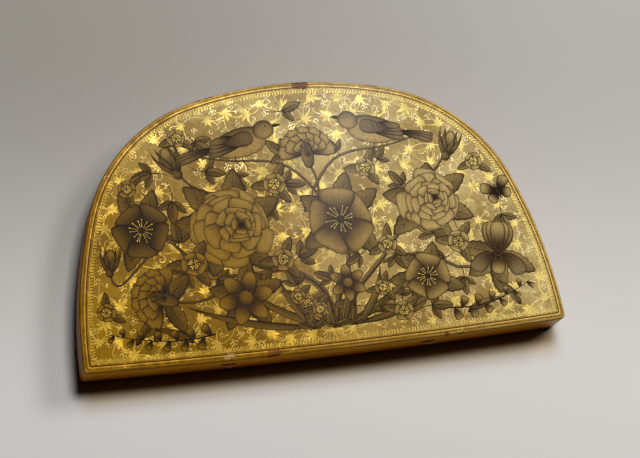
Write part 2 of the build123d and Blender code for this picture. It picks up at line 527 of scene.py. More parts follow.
def bud(p, x, y, r, angle):
    """A closed bud: three folded petals, held by thin sepals that reach past them."""
    for lean, bend in ((-16, 26), (16, -26), (0, 0)):
        petal(p, x, y, angle + lean, r, 0.5 * r, bend=bend, base=0.55, tip=0.7)
    sepal = (1.12 * r, 0.17 * r)
    for lean, bend in ((-44, 46), (-18, 14), (20, -14), (46, -46)):
        p.fill("leaves", blade(*sepal, base=0.4, tip=1.1), (x, y, angle + lean), sepal, (INK, LEAF_LIGHT),
               leaf_shade, line=0.12, bend=bend, rings=())
    foot = (0.36 * r, 0.34 * r)
    spot = (*ahead(x, y, -0.2 * r, angle), angle)
    p.fill("leaves", blade(*foot), spot, foot, LEAVES, leaf_shade, line=0.16, rings=())


def leaf(p, x, y, length, width, angle, bend=0.0, teeth=0.0, veins=6, tip=0.75):
    """One leaf with its midrib and side veins, left out where it would reach over the border."""
    spot = (x, y, angle)
    if not inside(*placed(*bent(length, 0, length, bend), spot), TIP_INSET):
        return
    outline = blade(length, width, base=0.6, tip=tip, teeth=teeth, points=16 if teeth else 12)
    p.fill("leaves", outline, spot, (length, width), LEAVES, leaf_shade, bend=bend, line=0.2)
    p.line("ink", [(0, 0), (0.5 * length, 0), (0.95 * length, 0)], (0.4, 0.26, 0.08), spot, length, bend)
    for i in range(veins):
        t = 0.16 + 0.62 * i / veins
        reach = 0.42 * width * (1 - abs(2 * t - 0.9))
        for side in (-1, 1):
            route = [(t * length, 0), ((t + 0.1) * length, side * 0.6 * reach),
                     ((t + 0.17) * length, side * reach)]
            p.line("ink", route, (0.16, 0.13, 0.05), spot, length, bend)


def leaf_fan(p, x, y, r, angles, width=0.5):
    """Toothed leaves that spread from one point. Their width is a share of their length."""
    for angle in angles:
        leaf(p, x, y, r * rng.uniform(0.9, 1.1), r * width, angle, rng.uniform(-18, 18), teeth=0.12)


def stem(p, points, width=1.5, thin=0.5):
    """A woody stem: a drab ribbon between two ink lines."""
    count = len(points)
    taper = [width + (thin - width) * i / (count - 1) for i in range(count)]
    p.line("ink", points, [w + 0.5 for w in taper])
    p.lift += COAT
    p.line("drab", points, taper)
    p.lift += COAT
    side = [(x + 0.12 * width, y - 0.12 * width) for x, y in points]
    p.line("umber", side, [0.45 * w for w in taper])


def spike(p, points, bells, r):
    """A stem hung on both sides with small bells."""
    p.line("ink", points, (0.7, 0.5, 0.3))
    start, middle, end = (Vector(q) for q in points)
    for i in range(bells):
        t = (i + 0.5) / bells
        a, b = start.lerp(middle, t), middle.lerp(end, t)
        at = a.lerp(b, t)
        along = degrees(atan2(b.y - a.y, b.x - a.x))
        side = 1 if i % 2 else -1
        size = r * (1 - 0.4 * t)
        petal(p, *at, along + side * 62, size, 0.6 * size, rays=2, line=0.2, base=0.7, tip=0.3, notch=0.12)


def bird(p, x, y, size, angle, facing=1):
    """A songbird on a twig. It is drawn facing +X, then turned, or mirrored by facing."""
    s = size / 20.0

    def at(px, py):
        return placed(px * s * facing, py * s, (x, y, angle))

    def way(direction):
        return angle + (direction if facing > 0 else 180 - direction)

    def feather(px, py, direction, length, width, colours, shade=petal_shade, line=0.2,
                rings=(0.6,), **form):
        """One shape of the bird. Its shading is mirrored with it."""
        size = (length * s, width * s)
        p.fill("birds", blade(*size, **form), (*at(px, py), way(direction)), size, colours,
               lambda t, q: shade(t, q * facing), line=line, rings=rings)

    # Tail, body, head and beak
    back = (INK, DRAB)
    for direction in (196, 201, 206):
        feather(-6, -0.5, direction, 15, 2.0, back, base=0.7, tip=0.25)
    feather(-9.5, -2.6, 18, 21, 10.5, PETALS, lambda t, q: 0.62 - 0.55 * q + 0.2 * t, line=0.3,
            rings=(0.75, 0.6), base=0.62, tip=0.42)
    feather(6.2, 4.6, 20, 7.6, 6.8, PETALS, lambda t, q: 0.6 - 0.4 * q, line=0.26)
    feather(13.0, 7.4, 12, 3.2, 1.3, (INK, UMBER), line=0, rings=(), base=0.4, tip=1.0)

    # Wing, with its barring, and specks on the breast
    for i, direction in enumerate((206, 202, 198, 194)):
        feather(4.2 - i, 2.2 + 0.3 * i, direction, 15 - 1.5 * i, 3.0, back, base=0.6, tip=0.4)
    feather(6.0, 3.4, 197, 11, 5.6, (UMBER, DRAB), lambda t, q: 0.9 - t, line=0.24, base=0.4, tip=0.9)
    for i in range(4):
        px = 3.6 - 1.9 * i
        route = [at(px, 4.2 - 0.4 * i), at(px - 1.0, 2.6 - 0.5 * i), at(px - 0.4, 1.0 - 0.5 * i)]
        p.line("ink", route, (0.12, 0.24, 0.1))
    for _ in range(10):
        px, py = rng.uniform(-4, 9), rng.uniform(-4, -0.5)
        p.line("ink", [at(px, py), at(px + 1.3, py + 0.5)], (0.14, 0.05))

    # Eye with its glint, and legs
    p.line("ink", [at(10.2, 7.3), at(10.8, 7.3)], (0.75, 0.75))
    p.lift += COAT
    p.line("pale", [at(10.45, 7.4), at(10.6, 7.4)], (0.22, 0.22))
    for px in (-0.5, 2.0):
        p.line("ink", [at(px, -4.2), at(px + 0.8, -7.0), at(px + 2.2, -7.6)], (0.4, 0.3, 0.2))


def butterfly(p, x, y, size, angle):
    """Two pairs of wings, a body and two feelers."""
    for lean, reach, wide in ((52, 1.0, 0.62), (-52, 1.0, 0.62), (118, 0.72, 0.6), (-118, 0.72, 0.6)):
        petal(p, x, y, angle + lean, size * reach, size * wide, (INK, BUFF), base=0.8, tip=0.34)
    body = (0.9 * size, 0.13 * size)
    spot = (*ahead(x, y, -0.4 * size, angle), angle)
    p.fill("birds", blade(*body), spot, body, (INK, UMBER), even_shade, line=0, rings=())
    for lean in (-16, 16):
        p.line("ink", [(x, y), ahead(x, y, 0.9 * size, angle + lean)], (0.2, 0.1))


# Gold scroll between the flowers


def star_leaf(p, x, y, size, angle):
    """A gold vine leaf with seven narrow points."""
    outline = []
    for i, (turn, reach) in enumerate(LOBES):
        reach *= size * rng.uniform(0.8, 1.14)
        following = LOBES[(i + 1) % 7][0] + (360 if i == 6 else 0)
        for lean, share in ((-15, 0.66), (-8, 0.74), (0, 1.0), (8, 0.74), (15, 0.66)):
            outline.append(ahead(0, 0, reach * share, turn + lean + rng.uniform(-3, 3)))
        outline.append(ahead(0, 0, 0.38 * size, (turn + following) / 2))
    p.fill("scroll", outline, (x, y, angle), (size, size), (GOLD_DEEP, GOLD), gilt_shade, line=0,
           rings=(), edge=0)
    for turn, reach in LOBES:
        far = 0.86 * reach * size
        p.line("pale", [ahead(x, y, d * far, angle + turn) for d in (0.16, 0.5, 1.0)], (0.22, 0.18, 0.06))


def curl(p, x, y, r, angle, turn):
    """A small hooked stroke, thick where it starts."""
    route = [ahead(x, y, r * (1 - 0.09 * i), angle + turn * i / 7) for i in range(8)]
    p.line("pale", route, (0.36, 0.34, 0.3, 0.26, 0.24, 0.22, 0.18, 0.14))


def tendril(p, x, y, length, angle):
    """A thin stroke that leaves a leaf and hooks round at its tip."""
    sway = rng.choice((-1, 1))
    route = [(0, 0), (0.5 * length, 0.12 * sway * length), (0.9 * length, 0.1 * sway * length),
             (1.1 * length, -0.12 * sway * length), (0.92 * length, -0.2 * sway * length)]
    p.line("pale", route, (0.24, 0.22, 0.2, 0.2, 0.14), (x, y, angle))


def berries(p, x, y, r):
    """A round cluster of nine pale dots."""
    for i in range(9):
        a, reach = 2.4 * i, r * sqrt(i / 9)
        p.dot("scroll", x + reach * cos(a), y + reach * sin(a), 0.33, PALE)


def inside(x, y, margin):
    """Whether a point of the plan is further in from the edge than the margin."""
    if y < margin - BOW:
        return False
    for (cx, cy), radius, first, last in edge_arcs(margin)[:3]:
        a = atan2(y - cy, abs(x) - cx)
        if first <= a <= last:
            return hypot(abs(x) - cx, y - cy) < radius
    return hypot(x, y) < HALF_WIDTH - margin


def scatter(margin, spacing, tries, keep_out=()):
    """Places inside the border that keep their distance from each other."""
    spots = []
    for _ in range(tries):
        x, y = rng.uniform(-HALF_WIDTH, HALF_WIDTH), rng.uniform(0, DEPTH)
        clear = inside(x, y, margin) and all(hypot(x - a, y - b) > spacing for a, b in spots)
        if clear and all(hypot(x - a, y - b) > r for a, b, r in keep_out):
            spots.append((x, y))
    return spots


def scroll(p, margin, spacing, keep_out=(), leaf_size=4.3):
    """Vine leaves strung on thin curving stems, with curls and berries in the gaps."""
    spots = scatter(margin, spacing, 9000, keep_out)
    for x, y in spots:
        near = sorted(spots, key=lambda q: hypot(q[0] - x, q[1] - y))[1:4]
        for a, b in near[: rng.choice((1, 2, 2))]:
            mx, my = (x + a) / 2, (y + b) / 2
            swell = rng.choice((-1, 1)) * rng.uniform(0.2, 0.5)
            p.start(mx, my, 0.45 * hypot(a - x, b - y))
            route = [(x, y), (mx - swell * (b - y), my + swell * (a - x)), (a, b)]
            p.line("gold", route, (0.34, 0.26, 0.22))
        for j in range(3):
            tendril(p, x, y, rng.uniform(1.1, 1.8) * leaf_size, rng.uniform(0, 120) + 120 * j)
    for x, y in spots:
        p.start(x, y, 0.8 * leaf_size)
        star_leaf(p, x, y, leaf_size * rng.uniform(0.8, 1.15), rng.uniform(0, 360))
    gaps = scatter(margin - 1.5, 4.6, 5000, [(x, y, 0.95 * leaf_size) for x, y in spots])
    for i, (x, y) in enumerate(gaps):
        p.start(x, y, 1.8)
        if i % 6 == 3:
            berries(p, x, y, 1.9)
            continue
        facing = rng.uniform(0, 360)
        for j in range(rng.choice((1, 2, 2, 3))):
            spot = ahead(x, y, 0.9, facing + 130 * j)
            curl(p, *spot, rng.uniform(0.7, 1.3), rng.uniform(0, 360), rng.choice((-280, -230, 230, 280)))


# Border


def ruled_edge(p):
    """Ruled lines along the lid's edge: colour, inset and width."""
    for colour, inset, width in (("ochre", 1.5, 1.1), ("red", 1.42, 0.2), ("gold", 2.3, 0.32),
                                 ("red", 2.85, 0.45), ("ochre", 3.2, 0.3)):
        p.loop(colour, edge_points(inset, RULE_STEP), width)


def looped_band(p, inset, loops):
    """A band of small gold loops, written as one stroke, with dots on both sides of it."""
    steps = 7
    middle, within = edge_points(inset, 0.12), edge_points(inset + 1, 0.12)
    route = []
    for i in range(loops * steps):
        turn = 2 * pi * i / steps
        share = (i / steps - 0.42 * sin(turn) + rng.uniform(-0.09, 0.09)) / loops % 1.0
        reach = 1.05 * cos(turn) * rng.uniform(0.75, 1.15)
        mx, my = middle[int(share * len(middle))]
        wx, wy = within[int(share * len(within))]
        route.append((mx + (wx - mx) * reach, my + (wy - my) * reach, 0.0006 * (i % steps)))
    p.loop("gold", route, 0.27)
    p.lift += 6 * COAT
    for x, y in edge_points(inset - 0.85, 1.9) + edge_points(inset + 0.85, 1.9):
        x, y = x + rng.uniform(-0.3, 0.3), y + rng.uniform(-0.3, 0.3)
        p.dot("red", x, y, 0.16, RED)
        p.dot("scroll", x + 0.6, y + 0.3, 0.17, PALE)


# The lid's picture

# Fans of leaves behind the flowers: x, y, length and directions
LEAF_FANS = (
    (-38, 60, 26, (24, 70, 128, 176, 236, 300)), (14, 58, 22, (34, 82, 146, 214, 318)),
    (57, 62, 22, (-20, 36, 84, 158, 214, 282)), (-78, 62, 19, (64, 114, 166, 240)),
    (86, 34, 19, (-30, 164, 215, 262)), (50, 27, 18, (64, 128, 186, 238, 330)),
    (-36, 26, 18, (24, 84, 158, 228, 310)), (-72, 28, 17, (46, 104, 300)))

# Flowers, buds and a butterfly: kind, x, y, size and direction
BLOOMS = (
    (peony, -38, 60, 20, 0), (wild_rose, 14, 58, 17, 20), (peony, 57, 62, 16, 30),
    (dark_rose, -78, 62, 14, 50), (carnation, -66, 27, 15, 160), (iris, 86, 34, 16, 80),
    (wild_rose, 50, 27, 12, 10), (narcissus, -36, 26, 13, 10), (narcissus, 12, 28, 9, 30),
    (carnation, 4, 84, 14, 92), (bud, -58, 87, 14, 112), (bud, 70, 84, 13, 66), (bud, -95, 44, 11, 80),
    (bud, 24, 14, 9, 20), (butterfly, 92, 64, 9, 110))

# Small wild roses: x, y and size
SMALL_BLOOMS = (
    (-16, 42, 5.5), (36, 12, 5), (-8, 20, 5), (68, 42, 5.5), (-57, 44, 6), (30, 82, 5), (-14, 78, 5.5),
    (83, 80, 4.5), (-82, 82, 4.5), (-56, 104, 4.5), (-99, 26, 4.5), (34, 44, 5), (-12, 24, 4),
    (-3, 17, 4), (28, 24, 4))

# Stems hung with bells: the points they run through and how many bells
SPIKES = (([(58, 11), (78, 8), (99, 20)], 11), ([(-52, 11), (-74, 7), (-99, 16)], 12))

# Birds: x, y, size, tilt and the way they face
BIRDS = ((-29, 98, 27, -6, 1), (39, 99, 26, 4, -1))

# Stems: the points they run through, and their width at the foot and at the tip
STEMS = (
    ([(2, 8), (4, 20), (-6, 34), (-26, 40), (-36, 56)], 3.6, 1.4),
    ([(4, 8), (6, 24), (16, 36), (15, 56)], 3.0, 1.2),
    ([(6, 9), (14, 24), (34, 40), (52, 64)], 2.6, 1.0),
    ([(30, 36), (50, 42), (70, 24), (84, 36)], 1.5, 0.7),
    ([(-14, 38), (-40, 34), (-58, 44), (-72, 64)], 1.7, 0.8),
    ([(-34, 38), (-50, 24), (-66, 27)], 1.2, 0.7),
    ([(10, 50), (2, 64), (8, 76), (4, 86)], 1.3, 0.6),
    ([(5, 72), (-2, 84), (-16, 90), (-34, 90.5), (-47, 94)], 1.0, 0.35),
    ([(-40, 76), (-52, 76), (-58, 88)], 0.9, 0.5),
    ([(4, 74), (12, 86), (24, 91), (42, 91), (56, 95)], 1.0, 0.35),
    ([(56, 74), (64, 76), (70, 86)], 0.9, 0.5),
    ([(-70, 56), (-82, 45), (-94, 34), (-95, 43)], 0.8, 0.4),
    ([(10, 12), (16, 10), (24, 14)], 0.8, 0.5),
    ([(0, 10), (-16, 14), (-34, 24)], 1.4, 0.7))

# Grasses: the place along X that they spring from, direction, length and bend
GRASSES = (
    (0, 168, 44, -38), (-6, 134, 28, -30), (8, 14, 42, 34), (12, 34, 32, 48), (6, 62, 24, 20),
    (-10, 176, 56, -24), (14, 6, 50, 22), (-62, 140, 20, 30), (66, 30, 20, -30), (-88, 60, 18, -24),
    (92, 110, 16, 30))

# Round places that the flowers and birds take up: x, y and radius
TAKEN = [(x, y, 0.8 * r) for _, x, y, r, _ in BLOOMS]
TAKEN += [(x, y, 0.9 * r) for x, y, r in SMALL_BLOOMS]
TAKEN += [(x + f * d * s, y, 0.42 * s) for x, y, s, _, f in BIRDS for d in (-0.3, 0.3)]


def lid_picture(p):
    """A border, and in it a bouquet of garden flowers with two birds, on a ground of gold scroll."""
    ruled_edge(p)
    looped_band(p, BAND_INSET, 420)
    scroll(p, SCROLL_INSET, SCROLL_SPACING, [(x, y, 0.72 * r) for x, y, r in TAKEN])
    p.start(0, 50, 200)
    for points, width, thin in STEMS:
        stem(p, points, width, thin)
    foliage(p)
    for x, y, r, angles in LEAF_FANS:
        p.start(x, y, r)
        leaf_fan(p, x, y, r, angles)
    p.start(0, 20, 60)
    for x, angle, length, bend in GRASSES:
        leaf(p, x, 9 + rng.uniform(-1, 1), length, 3.8, angle, bend, veins=0, tip=1.1)
    for x in (-7, 12, 3):
        p.start(x, 11, 6)
        leaf_fan(p, x, 8.4, 8, (28, 152, 90), 0.4)
    for draw, x, y, r, turn in BLOOMS:
        p.start(x, y, r)
        draw(p, x, y, r, turn)
    for x, y, r in SMALL_BLOOMS:
        p.start(x, y, 1.6 * r)
        turn = rng.uniform(0, 72)
        for angle in (turn + 20, turn + 140, turn + 260):
            leaf(p, x, y, 2.1 * r, 0.9 * r, angle, veins=3)
        wild_rose(p, x, y, r, turn, notch=0.05, colours=SOFT_PETALS)
    for points, bells in SPIKES:
        p.start(*points[1], 28)
        spike(p, points, bells, 7)
    for x, y, size, tilt, facing in BIRDS:
        p.start(x, y, 0.8 * size)
        bird(p, x, y, size, tilt, facing)


def foliage(p):
    """Sprigs of three leaves that fill the gaps and point away from the nearest flower."""
    for x, y in scatter(SPRIG_INSET, SPRIG_SPACING, 6000, TAKEN):
        if rng.random() < 0.45:
            continue
        a, b, _ = min(TAKEN, key=lambda q: hypot(q[0] - x, q[1] - y))
        angle = degrees(atan2(y - b, x - a)) + rng.uniform(-35, 35)
        length = rng.uniform(8, 11.5)
        if not inside(*ahead(x, y, 1.1 * length, angle), SPRIG_TIP_INSET):
            continue
        p.start(x, y, 0.85 * length)
        sway = rng.choice((-0.3, 0.3))
        route = [(-0.9 * length, sway * length), (-0.45 * length, 0), (0, 0)]
        p.line("ink", route, (0.1, 0.36, 0.45), (x, y, angle))
        p.lift += COAT
        for lean, share in ((-58, 0.75), (58, 0.75), (rng.uniform(-10, 10), 1.0)):
            size = length * share
            leaf(p, x, y, size, 0.5 * size, angle + lean, rng.uniform(-15, 15), teeth=0.1, veins=4)


# Sides that the closed case hides or stands on


def lining_picture(p):
    """Inside of the lid: gold scroll and one spray of roses on red."""
    for inset, width in ((7.0, 0.5), (8.2, 0.22)):
        p.loop("gold", edge_points(inset, RULE_STEP), width)
    looped_band(p, 10.2, 390)
    scroll(p, 13.5, 15.0, [(0, 60, 30), (0, 30, 16)], 5.5)
    p.start(0, 50, 60)
    for points in ([(0, 18), (-2, 34), (4, 48), (0, 62)], [(-1, 30), (-14, 36), (-24, 50)],
                   [(1, 40), (14, 46), (22, 60)]):
        stem(p, points, 1.6, 0.8)
    for x, y, angle in ((-2, 30, 140), (0, 38, 40), (-12, 36, 100), (12, 46, 20), (-20, 44, 170),
                        (18, 54, 80), (2, 50, 150), (0, 24, 30)):
        leaf(p, x, y, 14, 6, angle, bend=12, teeth=0.1)
    for draw, x, y, r, turn in ((peony, 0, 66, 14, 90), (wild_rose, -26, 54, 10, 0), (bud, 24, 62, 10, 60)):
        p.start(x, y, r)
        draw(p, x, y, r, turn)


def underside_picture(p):
    """Under the case: ruled gold lines and an open gold scroll on dark lacquer."""
    for inset, width in ((5.0, 0.6), (6.4, 0.25), (11.0, 0.25)):
        p.loop("gold", edge_points(inset, RULE_STEP), width)
    looped_band(p, 8.7, 400)
    scroll(p, 14.0, 17.0, (), 6.0)


def frame_vine(p):
    """Two gold lines and a running vine on the sloping face of the mirror frame."""

    def low(inset):
        return -(inset - LIP_FLAT) * FRAME_SLOPE

    for inset, width in ((6.2, 0.3), (9.4, 0.5), (10.3, 0.2), (16.0, 0.35)):
        height = low(max(inset, LIP_FLAT))
        p.loop("gold", [(x, y, height) for x, y in edge_points(inset, RULE_STEP)], width)
    first, last = 14.4, 11.6
    inner, outer = edge_points(first, 0.5), edge_points(last, 0.5)
    count = 576
    route = []
    for i in range(count):
        share = 0.5 + 0.42 * sin(pi * i / 6)
        (ax, ay), (bx, by) = inner[i * len(inner) // count], outer[i * len(outer) // count]
        x, y, z = ax + (bx - ax) * share, ay + (by - ay) * share, low(first + (last - first) * share)
        route.append((x, y, z))
        if i % 3 == 1:
            turn = rng.uniform(0, 2 * pi)
            for j in range(3):
                a = turn + 2.1 * j
                rib = [(x + r * cos(a), y + r * sin(a), z + 0.05) for r in (0.2, 0.7, 1.2)]
                p.line("pale", rib, (0.5, 0.5, 0.2))
    p.loop("gold", route, 0.3)


# Shader groups


def group(name, inputs, outputs):
    """A node group with named sockets: inputs are (name, default), outputs are (name, kind)."""
    tree = bpy.data.node_groups.new(name, "ShaderNodeTree")
    for label, value in inputs:
        kind = "NodeSocketColor" if isinstance(value, tuple) else "NodeSocketFloat"
        socket = tree.interface.new_socket(label, in_out="INPUT", socket_type=kind)
        socket.default_value = (*value, 1.0) if isinstance(value, tuple) else value
    for label, kind in outputs:
        tree.interface.new_socket(label, in_out="OUTPUT", socket_type=kind)
    return tree, Nodes(tree), tree.nodes.new("NodeGroupInput"), tree.nodes.new("NodeGroupOutput")


class Nodes:
    """Short calls for the nodes of one tree. Most return the socket to link on."""

    def __init__(self, tree):
        self.tree = tree

    def add(self, kind, values=(), **settings):
        """A node with these settings, and with these values or links on its inputs."""
        node = self.tree.nodes.new(kind)
        for key, value in settings.items():
            setattr(node, key, value)
        self.put(node, values)
        return node

    def put(self, node, values):
        """Links inputs of a node to other sockets, or sets their colours and numbers."""
        for key, value in dict(values).items():
            socket = node.inputs[key]
            if isinstance(value, bpy.types.NodeSocket):
                self.tree.links.new(value, socket)
            else:
                socket.default_value = (*value, 1.0) if socket.type == "RGBA" else value

    def math(self, operation, a, b=0.0):
        return self.add("ShaderNodeMath", {0: a, 1: b}, operation=operation).outputs[0]

    def plus(self, a, b):
        return self.math("ADD", a, b)

    def less(self, a, b):
        return self.math("SUBTRACT", a, b)

    def times(self, a, b):
        return self.math("MULTIPLY", a, b)

    def vector(self, operation, a, b):
        """A number that two vectors give."""
        return self.add("ShaderNodeVectorMath", {0: a, 1: b}, operation=operation).outputs["Value"]

    def ramp(self, value, low, high, start=0.0, end=1.0):
        """A soft step from start to end, while the value goes from low to high."""
        values = {"Value": value, "From Min": low, "From Max": high, "To Min": start, "To Max": end}
        return self.add("ShaderNodeMapRange", values, interpolation_type="SMOOTHSTEP").outputs[0]

    def blend(self, share, a, b, mode="MIX"):
        """Colour a, with a share of colour b laid over it."""
        values = {0: share, 6: a, 7: b}
        return self.add("ShaderNodeMix", values, data_type="RGBA", blend_type=mode).outputs[2]

    def place(self):
        return self.add("ShaderNodeTexCoord").outputs["Object"]

    def axes(self):
        return self.add("ShaderNodeSeparateXYZ", {0: self.place()}).outputs

    def noise(self, scale, detail=3.0, rough=0.5, place=None):
        values = {"Scale": scale, "Detail": detail, "Roughness": rough, "Vector": place or self.place()}
        return self.add("ShaderNodeTexNoise", values).outputs[0]

    def stretched(self, x, y, z):
        return self.add("ShaderNodeMapping", {"Vector": self.place(), "Scale": (x, y, z)}).outputs[0]


def crazing_group():
    """Fine cracks of old varnish: a long-meshed net with a finer one inside it."""
    tree, n, _, out = group("crazing", (), (("Crack", "NodeSocketFloat"), ("Height", "NodeSocketFloat")))
    place = n.stretched(1.35, 0.75, 1.0)
    drift = n.add("ShaderNodeTexNoise", {"Vector": place, "Scale": 55.0, "Detail": 3.0}).outputs[1]
    warped = n.add("ShaderNodeMix", {0: 0.006, 4: place, 5: drift}, data_type="VECTOR").outputs[1]
    edges = []
    for scale, width in ((95.0, 0.010), (210.0, 0.014)):
        values = {"Vector": warped, "Scale": scale}
        cells = n.add("ShaderNodeTexVoronoi", values, feature="DISTANCE_TO_EDGE")
        edges.append(n.ramp(cells.outputs[0], 0.0, width, 1.0, 0.0))
    patchy = n.ramp(n.noise(30.0, 2.0), 0.45, 0.6)
    fine = n.times(edges[1], n.times(patchy, 0.6))
    crack = n.math("MAXIMUM", n.times(edges[0], 0.8), fine)
    n.put(out, {0: crack, 1: n.less(1.0, crack)})
    return tree


def amber_and_sheen_group():
    """Old varnish over a colour: amber towards the left and the foot, clear towards the right. The clear,
    paler right end is also painted sheen of the varnish.
    """
    tree, n, given, out = group("amber_and_sheen", (("Color", (0.5, 0.5, 0.5)),), (("Color", "NodeSocketColor"),))
    colour = given.outputs["Color"]
    x, y, _ = n.axes()
    blotch = n.times(n.less(n.noise(14.0, 4.0, 0.6), 0.5), 0.09)
    across = n.plus(n.plus(x, n.times(y, 1.2)), blotch)
    # Share of amber: 1 at the left and foot, 0 at the right, where the plain colour is partly painted sheen
    amber = n.ramp(across, -0.1, 0.1, 1.0, 0.0)
    n.put(out, {0: n.blend(amber, colour, n.blend(1.0, colour, AMBER, "MULTIPLY"))})
    return tree


def edge_wear_group():
    """Rubbing along an edge at a given height: a ragged mask that thins out away from it."""
    inputs = (("Height", 0.0), ("Reach", 0.001), ("Scale", 300.0))
    tree, n, given, out = group("edge wear", inputs, (("Mask", "NodeSocketFloat"),))
    _, _, z = n.axes()
    off = n.math("ABSOLUTE", n.less(z, given.outputs["Height"]))
    off = n.math("DIVIDE", off, given.outputs["Reach"])
    ragged = n.less(n.noise(given.outputs["Scale"], 5.0, 0.65), n.times(off, 0.5))
    n.put(out, {0: n.ramp(ragged, 0.3, 0.45)})
    return tree


CRAZING = crazing_group()
AMBER_AND_SHEEN = amber_and_sheen_group()
EDGE_WEAR = edge_wear_group()


# Materials


def material(name):
    """A new material, the calls for its nodes, and its shader."""
    made = bpy.data.materials.new(name)
    made.use_nodes = True
    tree = made.node_tree
    return made, Nodes(tree), tree.nodes["Principled BSDF"]


def use(n, tree, **values):
    """The outputs of a shader group that is given these values."""
    return n.add("ShaderNodeGroup", values, node_tree=tree).outputs


def relief(n, shader, height, strength, distance):
    """Bumps the surface as far as the distance, in metres."""
    bump = n.add("ShaderNodeBump", {"Height": height, "Strength": strength, "Distance": distance})
    n.put(shader, {"Normal": bump.outputs[0]})


def varnish(n, shader, colour, rough=0.42, coat=0.25):
    """The common finish: cracks darken the colour and break the gloss."""
    cracks = use(n, CRAZING)
    speck = n.ramp(n.noise(900.0, 2.0, 0.7), 0.62, 0.75)
    worn = n.blend(n.times(speck, 0.25), colour, INK)
    ragged = n.times(n.less(n.noise(700.0, 3.0, 0.6), 0.5), 3 * MM)
    for x, y, z, reach, tone in SPOTS:
        spot = (x * MM, PLAN_Y + y * MM, TOP + z * MM)
        off = n.plus(n.vector("DISTANCE", n.place(), spot), ragged)
        mask = n.ramp(off, 0.75 * reach * MM, reach * MM, 0.8, 0.0)
        worn = n.blend(mask, worn, tone)
    gloss = n.noise(60.0, 4.0, 0.6)
    x, _, _ = n.axes()
    n.put(shader, {
        "Base Color": n.blend(n.times(cracks["Crack"], 0.5), worn, INK),
        "Roughness": n.ramp(gloss, 0.3, 0.7, rough - 0.08, rough + 0.12),
        "Coat Weight": n.ramp(x, -0.03, 0.11, 0.04 * coat, coat)})
    shader.inputs["Coat Roughness"].default_value = 0.12
    shader.inputs["Specular IOR Level"].default_value = 0.01
    swell = n.noise(120.0, 3.0)
    height = n.plus(n.times(swell, 0.6), n.times(cracks["Height"], 0.4))
    relief(n, shader, height, 0.35, 0.06 * MM)


def wall_colour(n):
    """Ochre lacquer on the walls: painted shade deepens it towards the foot; streaked, rubbed at its edges,
    painted sheen on the left end.
    """
    x, y, z = n.axes()
    streak = n.noise(3.0, 5.0, place=n.stretched(40, 40, 220))
    # Painted shade: the colour darkens towards the foot of the wall
    tone = n.plus(n.ramp(z, 0.0, TOP), n.times(n.less(streak, 0.5), 0.9))
    colour = n.blend(n.ramp(tone, 0.1, 0.9), srgb(160, 86, 18), srgb(198, 138, 34))
    low = use(n, EDGE_WEAR, Height=0.3 * MM, Reach=1.6 * MM, Scale=420.0)["Mask"]
    seam = use(n, EDGE_WEAR, Height=SEAM, Reach=0.5 * MM, Scale=500.0)["Mask"]
    colour = n.blend(n.times(low, 0.7), colour, srgb(150, 118, 74))
    colour = n.blend(n.times(seam, 0.45), colour, srgb(60, 34, 14))
    # Painted sheen: a pale grey-mauve patch on the left end of the wall, broken by the streaks
    painted_sheen = n.times(n.ramp(x, -0.113, -0.096, 0.9, 0.0), n.ramp(y, PLAN_Y + MM, PLAN_Y + 6 * MM))
    painted_sheen = n.times(painted_sheen, n.ramp(streak, 0.3, 0.6, 0.55, 1.0))
    return n.blend(painted_sheen, colour, srgb(164, 140, 116))


def gold_ground():
    """Gold ground on top of the lid, running into the wall lacquer over the worn arris, with a painted
    highlight along its front.
    """
    made, n, shader = material("gold_ground")
    _, y, z = n.axes()
    cloud = n.noise(45.0, 5.0, 0.6)
    grain = n.noise(650.0, 2.0, 0.6)
    tone = n.plus(n.times(cloud, 0.75), n.times(grain, 0.25))
    gold = n.blend(n.ramp(tone, 0.38, 0.62), srgb(152, 126, 72), srgb(194, 170, 112))
    amber_sheen_colour = use(n, AMBER_AND_SHEEN, Color=gold)["Color"]
    rubbed = use(n, EDGE_WEAR, Height=TOP - 0.4 * MM, Reach=0.7 * MM, Scale=260.0)["Mask"]
    # Along the front the rubbed arris is lighter: a painted highlight where it catches the light, over real
    # rubbing
    front = n.ramp(y, PLAN_Y + 0.5 * MM, PLAN_Y + 3 * MM, 1.0, 0.25)
    arris = n.blend(n.times(rubbed, front), srgb(96, 54, 16), srgb(150, 116, 40))
    side = n.blend(n.ramp(z, TOP - 1.2 * MM, TOP - 0.8 * MM), wall_colour(n), arris)
    on_top = n.ramp(z, TOP - 0.35 * MM, TOP - 0.12 * MM)
    varnish(n, shader, n.blend(on_top, side, amber_sheen_colour))
    return made


def wall_lacquer():
    made, n, shader = material("wall_lacquer")
    varnish(n, shader, wall_colour(n), rough=0.4, coat=0.5)
    return made


def pigment():
    """Painted brushwork under the same varnish: its colour comes with the strokes."""
    made, n, shader = material("pigment")
    colour = n.add("ShaderNodeAttribute", attribute_name=PAINT).outputs["Color"]
    stipple = n.ramp(n.noise(1500.0, 2.0, 0.7), 0.38, 0.62, 0.0, 0.35)
    worked = n.blend(stipple, colour, n.blend(1.0, colour, (0.45, 0.4, 0.34), "MULTIPLY"))
    varnish(n, shader, use(n, AMBER_AND_SHEEN, Color=worked)["Color"])
    return made


def shell_gold():
    """Gold paint, a little metallic, thin in places."""
    made, n, shader = material("shell_gold")
    colour = n.add("ShaderNodeAttribute", attribute_name=PAINT).outputs["Color"]
    thin = n.ramp(n.noise(700.0, 3.0, 0.7), 0.5, 0.75, 0.0, 0.5)
    worked = n.blend(thin, colour, GOLD_DEEP)
    amber_sheen_colour = use(n, AMBER_AND_SHEEN, Color=worked)["Color"]
    varnish(n, shader, n.blend(0.16, amber_sheen_colour, worked), rough=0.36)
    n.put(shader, {"Metallic": n.ramp(n.noise(300.0), 0.3, 0.7, 0.0, 0.2)})
    return made


